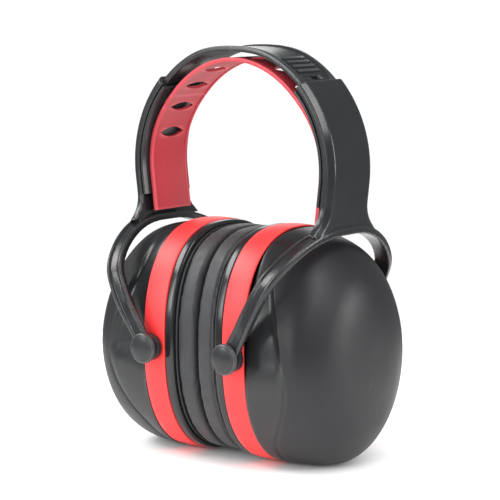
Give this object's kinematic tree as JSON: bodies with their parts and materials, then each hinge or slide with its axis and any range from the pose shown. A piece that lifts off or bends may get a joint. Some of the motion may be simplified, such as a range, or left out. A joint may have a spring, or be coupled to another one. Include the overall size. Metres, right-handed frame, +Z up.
{
  "type": "earmuff hearing protector",
  "caption": "Over-head hearing protector: two deep oval ear cups with padded rings, hung in forked yokes that slide on a sprung arched band over a soft slotted strap.",
  "frame": {"origin": "centre of the bounding box's foot, on the plane that the cups stand on, midway between the cups and between front and rear", "axes": "+X from the left cup to the right cup, +Y from the wearer's front to rear, +Z up towards the headband's crown"},
  "size_m": [0.1436, 0.1048, 0.193],
  "materials": {
    "band_plastic": "satin black moulded plastic",
    "strap_rubber": "soft red rubber, satin",
    "spring_steel": "spring steel",
    "inner_plastic": "matte black plastic",
    "shell_plastic": "glossy black plastic, satin on the outer face",
    "foam": "open-cell dark foam",
    "ring_plastic": "satin coral-red plastic",
    "cushion_leather": "dark synthetic leather",
    "cap_plastic": "matte black plastic"
  },
  "bodies": {
    "headband": {"headband_spring": "band_plastic", "comfort_strap": "strap_rubber"},
    "right_band_end": {"right_band_shoe": "inner_plastic"},
    "right_yoke": {"right_slider_yoke": "band_plastic", "right_sleeve_cover": "band_plastic", "right_click_spring": "spring_steel", "right_strap_clip": "inner_plastic"},
    "right_cup": {"right_outer_shell": "shell_plastic", "right_foam_liner": "foam", "right_inner_sheet": "foam", "right_accent_ring": "ring_plastic", "right_back_plate": "shell_plastic", "right_cushion_plate": "inner_plastic", "right_ear_cushion": "cushion_leather", "right_front_bush": "inner_plastic", "right_rear_bush": "inner_plastic", "right_front_pivot_pin": "cap_plastic", "right_rear_pivot_pin": "cap_plastic"},
    "left_band_end": {"left_band_shoe": "inner_plastic"},
    "left_yoke": {"left_slider_yoke": "band_plastic", "left_sleeve_cover": "band_plastic", "left_click_spring": "spring_steel", "left_strap_clip": "inner_plastic"},
    "left_cup": {"left_outer_shell": "shell_plastic", "left_foam_liner": "foam", "left_inner_sheet": "foam", "left_accent_ring": "ring_plastic", "left_back_plate": "shell_plastic", "left_cushion_plate": "inner_plastic", "left_ear_cushion": "cushion_leather", "left_front_bush": "inner_plastic", "left_rear_bush": "inner_plastic", "left_front_pivot_pin": "cap_plastic", "left_rear_pivot_pin": "cap_plastic"}
  },
  "joints": [
    {"name": "right_spread", "type": "hinge", "parent": "headband", "child": "right_band_end", "pos_m": [0.021, 0, 0.186], "axis": [0, -1, 0], "range_deg": [0, 34], "stiffness_Nm_per_rad": 1.8, "springref_deg": -14.32, "deforming": ["headband_spring", "comfort_strap"]},
    {"name": "right_height", "type": "hinge", "parent": "right_band_end", "child": "right_yoke", "pos_m": [0, 0, 0.137], "axis": [0, -1, 0], "range_deg": [0, 18], "deforming": ["comfort_strap"]},
    {"name": "right_tilt", "type": "hinge", "parent": "right_yoke", "child": "right_cup", "pos_m": [0.0242, 0, 0.054], "axis": [0, -1, 0], "range_deg": [-8, 5], "deforming": ["right_ear_cushion"]},
    {"name": "left_spread", "type": "hinge", "parent": "headband", "child": "left_band_end", "pos_m": [-0.021, 0, 0.186], "axis": [0, 1, 0], "range_deg": [0, 34], "stiffness_Nm_per_rad": 1.8, "springref_deg": -14.32, "deforming": ["headband_spring", "comfort_strap"]},
    {"name": "left_height", "type": "hinge", "parent": "left_band_end", "child": "left_yoke", "pos_m": [0, 0, 0.137], "axis": [0, 1, 0], "range_deg": [0, 18], "deforming": ["comfort_strap"]},
    {"name": "left_tilt", "type": "hinge", "parent": "left_yoke", "child": "left_cup", "pos_m": [-0.0242, 0, 0.054], "axis": [0, 1, 0], "range_deg": [-8, 5], "deforming": ["left_ear_cushion"]}
  ]
}
